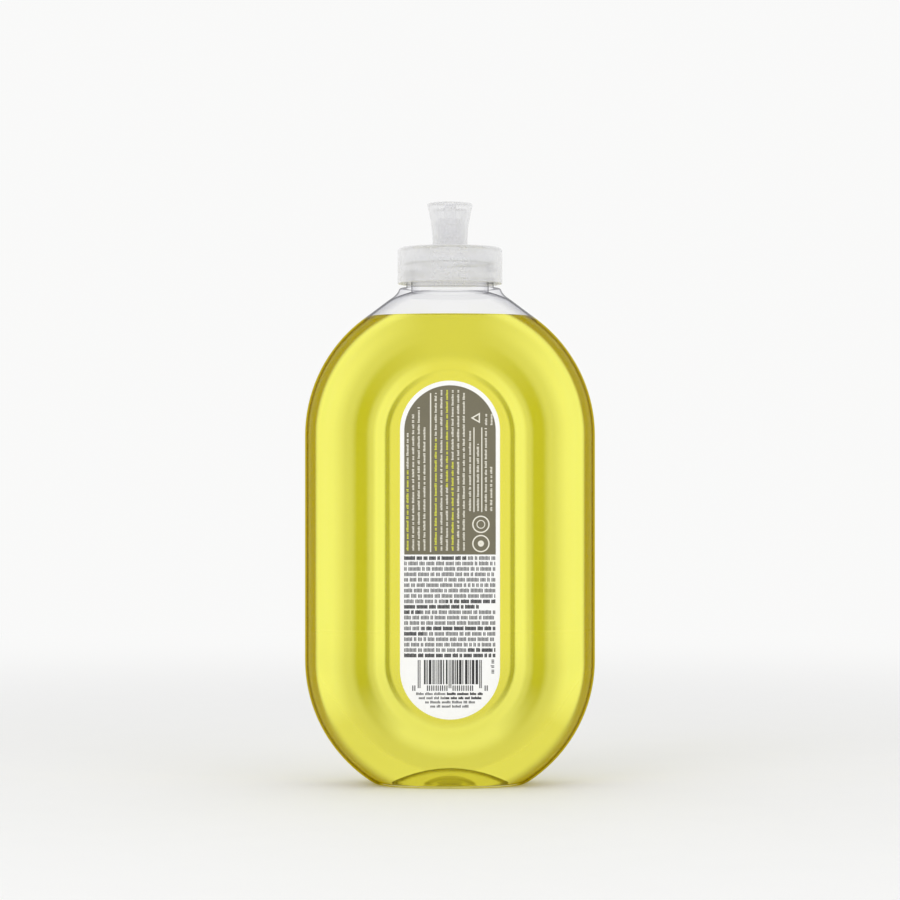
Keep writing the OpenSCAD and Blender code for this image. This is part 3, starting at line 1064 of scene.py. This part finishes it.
class Lines:
    """Lines of plain word-like blocks: where they start, which way they run and their size."""

    def __init__(self, first, upright, pitch, count, step, lines, size, rng, lift=0.3):
        self.first = Vector((first[0] * MM, PRINT_FACE, first[1] * MM))
        self.along = Vector((0, 0, 1)) if upright else Vector((1, 0, 0))
        self.rise = Vector((-1, 0, 0)) if upright else Vector((0, 0, 1))
        self.pitch, self.count = pitch * MM, count
        self.step, self.lines = step * MM, lines
        self.size, self.lift = size, lift
        self.gaps = [self.spaces(rng) for _ in range(lines)]
        places = [(row, place) for row in range(lines) for place in range(count)]
        self.tall = {block for block in places if rng.random() < TALL_SHARE}

    def spaces(self, rng):
        """The places in one line that stay empty between its words."""
        found, at = set(), rng.randint(2, 9)
        while at < self.count:
            found.add(at)
            at += rng.randint(3, 10)
        return found

    def key(self, co):
        """The line and place of a block that holds a point."""
        way = co - self.first
        return round(-way.dot(self.rise) / self.step), round(way.dot(self.along) / self.pitch)

    def mark(self, row, place, ink_at):
        """The ink of one block, or nothing for a gap."""
        if place in self.gaps[row]:
            return None
        return ink_at(row, (self.first + self.along * self.pitch * place).dot(self.along) / MM)

    def bolder(self, co):
        """A corner of a block, moved out along its line as in bold print."""
        row, place = self.key(co)
        side = (co - self.first).dot(self.along) - place * self.pitch
        return co + self.along * side * BOLDER

    def build(self, name, ink_at):
        """Models one block, repeats it in lines, and returns a piece for each ink."""
        only()
        long, high = self.size
        scale = self.along * long + self.rise * high
        bpy.ops.mesh.primitive_cube_add(
            size=1, location=self.first, scale=(abs(scale.x) * MM, INK, abs(scale.z) * MM)
        )
        bpy.ops.object.transform_apply(location=True, scale=True)
        sheet = bpy.context.object
        across, down = self.along * self.pitch, -self.rise * self.step
        for way, count in ((across, self.count), (down, self.lines)):
            copies = sheet.modifiers.new("Copies", "ARRAY")
            copies.count = count
            copies.use_relative_offset = False
            copies.use_constant_offset = True
            copies.constant_offset_displace = way
        apply_all(sheet)
        edit()
        top = lambda co: (co - self.first).dot(self.rise) + self.key(co)[0] * self.step > 0
        pick(lambda v: self.key(v.co) in self.tall and top(v.co))
        move_picked(lambda co: co + self.rise * high * MM * self.lift)
        inks = {}
        for row in range(self.lines):
            for place in range(self.count):
                inks.setdefault(self.mark(row, place, ink_at), set()).add((row, place))
        pick(lambda v: self.key(v.co) in inks.get("black", ()))
        move_picked(self.bolder)
        pieces = {}
        for ink in sorted(ink for ink in inks if ink):
            pick(lambda v, ink=ink: self.key(v.co) in inks[ink])
            before = set(bpy.data.objects)
            bpy.ops.mesh.separate(type="SELECTED")
            pieces[ink] = next(obj for obj in bpy.data.objects if obj not in before)
            pieces[ink].name = f"{name}_{ink}"
        bpy.ops.object.mode_set(mode="OBJECT")
        bpy.data.objects.remove(sheet)
        return pieces


def printed_ring(x, z, radius, line, steps=48):
    """A printed ring, or a printed triangle with three steps."""
    out, hole, face = x - radius, x - radius + line, label_low.y
    corners = (out, face), (out, face - INK), (hole, face - INK), (hole, face)
    outline([(at * MM, y, z * MM) for at, y in corners], closed=True)
    bpy.ops.mesh.spin(steps=steps, angle=2 * math.pi, center=(x * MM, 0, z * MM), axis=(0, 1, 0))
    close_up()
    return finished("ring")


def rings(facts):
    return [printed_ring(*ring) for ring in facts]


def to_front(obj):
    """Turns a finished piece half round the Z axis, to the hidden side."""
    only(obj)
    edit()
    take_all()
    move_picked(lambda co: Vector((-co.x, -co.y, co.z)))
    return finished(obj.name)


# Upright text, each group (name, first block, blocks in a line, step between lines, block height,
# and for each line the place where each ink ends) in millimetres
LINE_END = 160
COLUMNS = (
    ("left_columns", (-16.5, 93.4), 112, 2.19, 0.66, (
        {"lime": 124.5, "cream": 139}, {"cream": 146.5}, {"cream": 149}, {"cream": 141.5},
    )),
    ("middle_columns", (-5.5, 93.4), 112, 2.19, 0.66, (
        {"lime": 136.8, "cream": 154.5}, {"cream": 156}, {"cream": 117.6, "lime": 156},
        {"lime": 128.2, "cream": 156}, {"cream": 156}, {"cream": 154.5},
    )),
    ("right_columns", (7.85, 108.8), 58, 3.1, 0.66, (
        {"cream": 140}, {"cream": 135}, {"cream": 141},
    )),
    ("short_columns", (14.15, 142.3), 8, 2.1, 0.66, ({"cream": LINE_END}, {"cream": LINE_END})),
    ("note_column", (16.15, 108.8), 31, 2.1, 0.66, ({"cream": LINE_END},)),
    ("side_line", (16.7, 45.4), 10, 2.1, 1.05, ({"grey": LINE_END},)),
)
# The paragraph's half width, its bold runs by line, where its one short line ends, and the half
# widths of the small lines at the label's foot
EDGE = 17.8
BOLD = {0: (-EDGE, 6.6), 8: (-1.8, EDGE), 9: (-EDGE, 11.4), 10: (-EDGE, -11.6),
        13: (-10.8, EDGE), 14: (-EDGE, -10.2), 17: (6.8, EDGE), 18: (-EDGE, EDGE)}
SHORT_LINE, SHORT_END = 9, 11.4
SMALL_HALVES = (13.1, 12.1, 9.7, 7.5)


def paragraph_ink(row, at):
    if row == SHORT_LINE and at > SHORT_END:
        return None
    low, high = BOLD.get(row, (0, 0))
    return "black" if low <= at <= high else "grey"


def small_ink(row, at):
    if abs(at) > SMALL_HALVES[row]:
        return None
    return "black" if row < 2 and at > -1.5 else "grey"


def rear_text(rng):
    """The shown label's text as lines of plain blocks, in a list of pieces by ink."""
    texts = []
    for name, first, count, step, high, lines in COLUMNS:
        columns = Lines(first, True, 0.56, count, step, len(lines), (0.38, high), rng)

        def column_ink(row, at, lines=lines):
            return next((ink for ink, end in lines[row].items() if at <= end), None)

        texts.append(columns.build(name, column_ink))
    rows = Lines((-17.65, 90.2), False, 0.54, 66, 2.11, 19, (0.4, 1.4), rng, lift=0.08)
    small = Lines((-13, 37.2), False, 0.5, 53, 1.63, 4, (0.38, 0.8), rng)
    texts.append(rows.build("paragraph", paragraph_ink))
    texts.append(small.build("small_lines", small_ink))
    return texts


def bar_code(rng):
    """A made-up run of upright bars, with longer guard bars and pairs of short bars under it."""
    boxes = [(x, 45.0, 0.36, 11.0) for x in GUARDS]
    at = CODE_START
    while at < CODE_END - 1.2:
        width = rng.choice((0.36, 0.45, 0.66, 1.0))
        at += rng.choice((0.3, 0.33, 0.45, 0.66))
        apart = all(abs(at + width / 2 - x) > width / 2 + 0.35 for x in GUARDS)
        if apart and at + width < CODE_END - 0.8:
            boxes.append((at + width / 2, 45.75, width, 9.5))
        at += width
    return boxes + [(x + side, 39.5, 0.42, 2.1) for x in PAIRS for side in (-0.4, 0.4)]


def ride(obj, part, mat):
    """Gives a finished piece its material, slot and body."""
    obj.data.materials.clear()
    obj.data.materials.append(mat)
    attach(obj, part)


# Operators, one for each piece or group of like pieces

class BottleShell(bpy.types.Operator):
    """Builds the blown bottle: outer skin, inner skin, neck, rim and thread."""

    bl_idname = "bottle.shell"
    bl_label = "Bottle Shell"

    def execute(self, context):
        lip = heights()[2]
        body_skin(0)
        extend(shoulder_sections(0, lip - neck().lip_round))
        extend(turned_sections(neck_points()))
        outer = finished("outer_skin")
        wall = body().wall
        body_skin(wall)
        extend(shoulder_sections(wall, heights()[1]))
        extend(turned_sections(throat_points()))
        close_up()
        take_all()
        bpy.ops.mesh.flip_normals()
        inner = finished("inner_skin")
        join("bottle_shell", outer, inner)
        edit("EDGE")
        pick(lambda e: e.is_boundary, "EDGE")
        bpy.ops.mesh.bridge_edge_loops()
        close_up()
        shell = finished("bottle_shell")
        neck_r = neck().neck_width / 2
        ridge = thread("neck_thread", neck_r - 0.1 * MM, neck_r + neck().thread_height,
                       neck_thread_height(), 0)
        shell = join("bottle_shell", shell, ridge)
        smooth_by_angle(shell, 40)
        ride(shell, "bottle", clear_plastic_material())
        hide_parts("bottle")
        return {"FINISHED"}


class Cleaner(bpy.types.Operator):
    """Builds the cleaner that fills the bottle, with its level surface and meniscus."""

    bl_idname = "bottle.cleaner"
    bl_label = "Cleaner"

    def execute(self, context):
        inset = body().wall + body().contents_gap
        top = cleaner_high.z
        rise = body().meniscus
        body_skin(inset)
        extend(shoulder_sections(inset, top - 0.1 * MM))
        rim = shoulder_reach(top, inset)
        for share, drop in ((0.995, 0.0), (0.985, 0.45), (0.965, 0.75), (0.93, 0.93), (0.85, 1.0),
                            (0.6, 1.0), (0.3, 1.0)):
            extend([(level(top - rise * drop), lambda angle, share=share: rim(angle) * share)])
        close_pole()
        close_up()
        cleaner = finished("cleaner_fill")
        smooth_by_angle(cleaner, 50)
        ride(cleaner, "bottle", cleaner_material())
        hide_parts("cleaner_liquid")
        return {"FINISHED"}


class Labels(bpy.types.Operator):
    """Builds both labels' films."""

    bl_idname = "bottle.labels"
    bl_label = "Label Films"

    def execute(self, context):
        film = film_material("label_film", shades().label_white)
        for name, node in (("rear_film", "rear_label"), ("front_film", "front_label")):
            obj = pill_plate(name, label_high.x, label_low.z, label_high.z,
                             label_high.y + FILM_SINK, label_low.y)
            if node == "front_label":
                to_front(obj)
            smooth_by_angle(obj)
            ride(obj, "bottle", film)
            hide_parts(node)
        return {"FINISHED"}


class Print(bpy.types.Operator):
    """Builds the print of both labels as thin plates: fields, bars, rings and a bar code."""

    bl_idname = "bottle.print"
    bl_label = "Label Print"

    def print_front(self, inks):
        """Prints the hidden label: a field at its top, plain bars, and a few rings and discs."""
        marks = {
            "front_field": [field("front_field", FIELD_BORDER, 112 * MM)],
            "front_cream_print": [bars("front_bars", FRONT_BARS)],
            "front_lime_print": rings(FRONT_RINGS),
            "front_grey_print": [bars("front_lines", FRONT_LINES)],
        }
        for (name, parts), ink in zip(marks.items(), ("taupe", "cream", "lime", "grey")):
            ride(to_front(join(name, *parts)), "bottle", inks[ink])

    def execute(self, context):
        c = shades()
        inks = {"taupe": film_material("ink_taupe", c.label_taupe, 0.03)}
        for ink in ("cream", "lime", "grey", "black"):
            inks[ink] = film_material(f"ink_{ink}", getattr(c, f"label_{ink}"))
        ride(field("rear_field", FIELD_BORDER * 1.1, 91.6 * MM), "bottle",
             inks["taupe"])
        rng = random.Random(7)
        texts = rear_text(rng)
        marks = {
            "black": [bars("bar_code", bar_code(rng))],
            "cream": [bars("rules", RULES), *rings(REAR_RINGS)],
        }
        for ink in ("black", "cream", "grey", "lime"):
            parts = [text[ink] for text in texts if ink in text] + marks.get(ink, [])
            obj = join(f"rear_{ink}_print", *parts)
            ride(obj, "bottle", inks[ink])
        self.print_front(inks)
        return {"FINISHED"}


# Clearances and small edges of the closure

SEAL_GAP = 0.05 * MM
SPOUT_PLAY = 0.05 * MM
STOP_GAP = 0.2 * MM
BEAD_LEAD = 0.4 * MM
WINDOW_MARGIN = 0.25 * MM
WINDOW_WEB = 45
THREAD_TURN = 240


class Cap(bpy.types.Operator):
    """Builds the screw cap: skirt, top plate, sealing rib, turret with bead and plug, thread."""

    bl_idname = "bottle.cap"
    bl_label = "Screw Cap"

    def cut_windows(self, cap, plug, bore, end):
        """Cuts the flow windows through the turret's top, around the plug."""
        count = closure().windows
        inside, outside = plug + WINDOW_MARGIN, bore - WINDOW_MARGIN
        low, high = end - closure().turret_top - MM, end + MM
        sweep = 2 * math.pi / count - math.radians(WINDOW_WEB)
        for index in range(count):
            start = 2 * math.pi / count * index
            outline([(inside, 0, low), (outside, 0, low), (outside, 0, high), (inside, 0, high)],
                    closed=True)
            turn_about_z(start)
            bpy.ops.mesh.edge_face_add()
            bpy.ops.mesh.spin(steps=16, angle=-sweep, center=(0, 0, 0), axis=(0, 0, 1))
            close_up()
            cutter = finished("window_room")
            cut = cap.modifiers.new("Window", "BOOLEAN")
            cut.operation = "DIFFERENCE"
            cut.object = cutter
            apply_all(cap)
            bpy.data.objects.remove(cutter)

    def execute(self, context):
        s = closure()
        bottom = cap_low.z
        top = bottom + s.cap_height
        outer = cap_high.x
        inner = outer - s.skirt_wall
        under = top - s.plate
        turret = s.turret_width / 2
        bore = turret - s.turret_wall
        plug = s.plug_width / 2
        bead_low = spout_low.z + s.spout_guide + s.spout_travel + STOP_GAP
        bead_high = bead_low + s.bead_width
        end = bead_high + s.turret_end
        bead = turret + s.bead_height
        rib_in = neck().neck_width / 2 - neck().neck_wall / 2 - s.rib_width / 2
        rib_out = rib_in + s.rib_width
        rib_low = seal_high.z + SEAL_GAP
        soft, fillet, tip, edge, root = (size * MM for size in (0.25, 0.4, 0.4, 0.3, 0.2))
        below = [(0, end - s.turret_top), (bore, end - s.turret_top), (bore, under),
                 (rib_in, under), (rib_in, rib_low), (rib_out, rib_low), (rib_out, under)]
        below += arc((inner - soft, under - soft), soft, 90, 0, 4)
        below += [(inner, mix(bottom, under, 0.5)), (inner, bottom + soft), (inner + soft, bottom)]
        side = arc((outer - soft, bottom + soft), soft, -90, 0, 4)
        side += [(outer, mix(bottom, top, share)) for share in (0.3, 0.6)]
        side += arc((outer - s.cap_round, top - s.cap_round), s.cap_round, 0, 90, 10)
        side += [(mix(outer, turret, 0.5), top)]
        side += arc((turret + fillet, top + fillet), fillet, -90, -180, 4)
        side += [(turret, bead_low), (bead, bead_low + 0.05 * MM),
                 (bead, mix(bead_low, bead_high, 0.5)), (turret, bead_high)]
        side += arc((turret - edge, end - edge), edge, 0, 90, 4)
        above = [(plug + root, end), (plug, end + root), (plug, cap_high.z - tip),
                 (plug - tip, cap_high.z), (0, cap_high.z)]
        cap = lathe("cap_moulding", below + side + above, steps=144)
        self.cut_windows(cap, plug, bore, end)
        thread_r = neck().neck_width / 2 + neck().thread_play
        z = neck_thread_height() - neck().thread_pitch / 2 + neck().thread_pitch * THREAD_TURN / 360
        ridge = thread("cap_thread", inner + 0.1 * MM, thread_r, z, math.radians(THREAD_TURN))
        cap = join("cap_moulding", cap, ridge)
        smooth_by_angle(cap, 40)
        ride(cap, "cap", natural_plastic_material("cap_plastic", shades().cap, 0.28))
        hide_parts("screw_cap")
        return {"FINISHED"}


class Seal(bpy.types.Operator):
    """Builds the sealing ring."""

    bl_idname = "bottle.seal"
    bl_label = "Sealing Ring"

    def execute(self, context):
        low, high = seal_low.z, seal_high.z
        outer = seal_high.x
        inner = neck().neck_width / 2 - neck().neck_wall
        soft = 0.15 * MM
        section = [(inner + soft, low), (outer - soft, low), (outer, low + soft),
                   (outer, high - soft), (outer - soft, high), (inner + soft, high),
                   (inner, high - soft), (inner, low + soft)]
        ring = lathe("seal_ring", section)
        smooth_by_angle(ring, 50)
        ride(ring, "seal", foam_material())
        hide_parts("cap_liner")
        return {"FINISHED"}


class Spout(bpy.types.Operator):
    """Builds the waisted, flared spout that slides on the turret."""

    bl_idname = "bottle.spout"
    bl_label = "Pull Spout"

    def execute(self, context):
        s = closure()
        low, high = spout_low.z, spout_high.z
        rim = spout_high.x
        waist = s.waist / 2
        turret = s.turret_width / 2
        sleeve = turret + SPOUT_PLAY
        guide = low + s.spout_guide
        wide = turret + s.bead_height + 2 * SPOUT_PLAY
        bead_top = guide + s.spout_travel + STOP_GAP + s.bead_width + BEAD_LEAD
        roof = high - s.spout_roof
        mouth = s.plug_width / 2 + SPOUT_PLAY
        foot, lip = 0.2 * MM, 0.3 * MM
        flare_foot = low + 1.2 * MM
        flare_top = high - s.spout_round
        rise, flare = flare_top - flare_foot, rim - waist
        bend = (flare**2 + rise**2) / (2 * flare)
        section = [(sleeve, low), (waist - foot, low), (waist, low + foot)]
        for i in range(25):
            z = mix(flare_foot, flare_top, i / 24)
            section.append((waist + bend - math.sqrt(bend**2 - (z - flare_foot) ** 2), z))
        section += arc((rim - s.spout_round, flare_top), s.spout_round, 12, 90, 6)
        section += [(mix(rim, mouth, 0.5), high), (mouth + lip, high), (mouth, high - lip),
                    (mouth, roof), (wide + s.widening, roof), (wide, bead_top), (wide, guide),
                    (sleeve, guide)]
        spout = lathe("spout_sleeve", section)
        smooth_by_angle(spout, 40)
        mat = natural_plastic_material("spout_plastic", shades().spout, 0.26)
        ride(spout, "spout", mat)
        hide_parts("pull_spout")
        return {"FINISHED"}


class Stage(bpy.types.Operator):
    """Sets the pale floor, the soft lamps, the white surroundings and the camera."""

    bl_idname = "bottle.stage"
    bl_label = "Studio Stage"

    def execute(self, context):
        make_floor()
        make_world()
        for facts in LAMPS:
            lamp(*facts)
        make_camera()
        context.scene.view_settings.view_transform = "Standard"
        cycles = context.scene.cycles
        cycles.max_bounces = cycles.transmission_bounces = 24
        cycles.diffuse_bounces = cycles.glossy_bounces = 10
        cycles.transparent_max_bounces = 40
        return {"FINISHED"}


SURROUND = (0.95, 0.95, 0.945, 1)
# Lamps, each (name, place, (width, height), power, whether gloss shows it)
LAMPS = (
    ("key", (-0.9, -1.3, 1.1), (1.0, 1.0), 7.0, False),
    ("fill", (1.1, -1.2, 0.7), (1.0, 1.0), 4.0, False),
    ("left_strip", (-1.2, -0.25, 0.35), (0.25, 1.5), 1.2, True),
    ("right_strip", (1.2, -0.25, 0.35), (0.25, 1.5), 1.2, True),
)
SEEN_RAYS = "Is Camera Ray", "Is Glossy Ray", "Is Transmission Ray"


def make_floor():
    """A wide pale disc that keeps the shadow and fades out towards the white surroundings."""
    only()
    bpy.ops.mesh.primitive_circle_add(vertices=96, radius=3.0, fill_type="NGON")
    floor = finished("floor")
    mat, tree, shader = material("floor")
    coordinates, _ = object_xyz(tree)
    shade = shades().floor
    put(tree, shader, {
        "Base Color": mix_colour(tree, noise(tree, coordinates, 40.0), [v * 0.985 for v in shade],
                                 shade),
        "Roughness": 0.75,
        "Specular IOR Level": 0.2,
    })
    fade = to_range(tree, length_of(tree, coordinates), 0.1, 1.1)
    fade.node.interpolation_type = "SMOOTHERSTEP"
    far = add(tree, "ShaderNodeEmission", Color=SURROUND, Strength=1.0).outputs[0]
    share = times(tree, fade, light_path(tree, *SEEN_RAYS))
    show(tree, blended(tree, share, shader.outputs[0], far))
    floor.data.materials.append(mat)


def make_world():
    """Even studio light, and a pale surround for what the camera, gloss and glass see."""
    world = bpy.data.worlds.new("studio")
    bpy.context.scene.world = world
    world.use_nodes = True
    tree = world.node_tree
    light = put(tree, tree.nodes["Background"], {"Color": (1, 1, 1, 1), "Strength": 0.8})
    seen = add(tree, "ShaderNodeBackground", Color=SURROUND, Strength=1.0)
    share = light_path(tree, *SEEN_RAYS)
    show(tree, blended(tree, share, light.outputs[0], seen.outputs[0]), "OUTPUT_WORLD")


def lamp(name, place, size, power, shows):
    """A soft lamp, width by height, that faces the middle of the bottle and may show in gloss."""
    only()
    bpy.ops.object.light_add(type="AREA", location=place)
    obj = bpy.context.object
    obj.name = name
    obj.visible_glossy = obj.visible_transmission = shows
    obj.data.shape = "RECTANGLE"
    obj.data.size, obj.data.size_y = size
    obj.data.energy = power
    middle = Vector((0, 0, bottle_high.z / 2))
    obj.rotation_euler = (middle - Vector(place)).to_track_quat("-Z", "Y").to_euler()


CAMERA_DISTANCE = 1150 * MM
CAMERA_HEIGHT = 124 * MM
SENSOR = 36
FOCAL_PIXELS = 2898
PICTURE_PIXELS = 900
HORIZON_BELOW_MIDDLE = 21.5


def make_camera():
    """A level camera at the photograph's height and distance, with its small upward shift."""
    only()
    bpy.ops.object.camera_add(location=(0, -CAMERA_DISTANCE, CAMERA_HEIGHT),
                              rotation=(math.pi / 2, 0, 0))
    camera = bpy.context.object
    camera.data.sensor_width = SENSOR
    camera.data.lens = SENSOR * FOCAL_PIXELS / PICTURE_PIXELS
    camera.data.shift_y = HORIZON_BELOW_MIDDLE / PICTURE_PIXELS
    camera.data.clip_start = 0.01
    bpy.context.scene.camera = camera


PIECES = (BottleShell, Cleaner, Labels, Print, Cap, Seal, Spout, Stage)
GROUPS = {
    "bottle_body": BodySizes,
    "bottle_neck": NeckSizes,
    "bottle_closure": ClosureSizes,
    "bottle_colours": BottleColours,
}


class BottlePanel(bpy.types.Panel):
    """Lists the bottle's sizes, colours and pieces."""

    bl_idname = "VIEW3D_PT_bottle"
    bl_label = "Floor Cleaner Bottle"
    bl_space_type = "VIEW_3D"
    bl_region_type = "UI"
    bl_category = "Bottle"

    def draw(self, context):
        for group, kind in GROUPS.items():
            box = self.layout.box()
            box.label(text=kind.__name__)
            for prop in kind.__annotations__:
                box.prop(getattr(context.scene, group), prop)
        for piece in PIECES:
            self.layout.operator(piece.bl_idname)


def register():
    for kind in (*GROUPS.values(), *PIECES, BottlePanel):
        bpy.utils.register_class(kind)
    for group, kind in GROUPS.items():
        setattr(bpy.types.Scene, group, bpy.props.PointerProperty(type=kind))


def unregister():
    for group in GROUPS:
        delattr(bpy.types.Scene, group)
    for kind in reversed((*GROUPS.values(), *PIECES, BottlePanel)):
        bpy.utils.unregister_class(kind)


def main():
    """Registers the add-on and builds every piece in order."""
    register()
    bpy.ops.bottle.shell()
    bpy.ops.bottle.cleaner()
    bpy.ops.bottle.labels()
    bpy.ops.bottle.print()
    bpy.ops.bottle.cap()
    bpy.ops.bottle.seal()
    bpy.ops.bottle.spout()
    bpy.ops.bottle.stage()


if __name__ == "__main__":
    main()
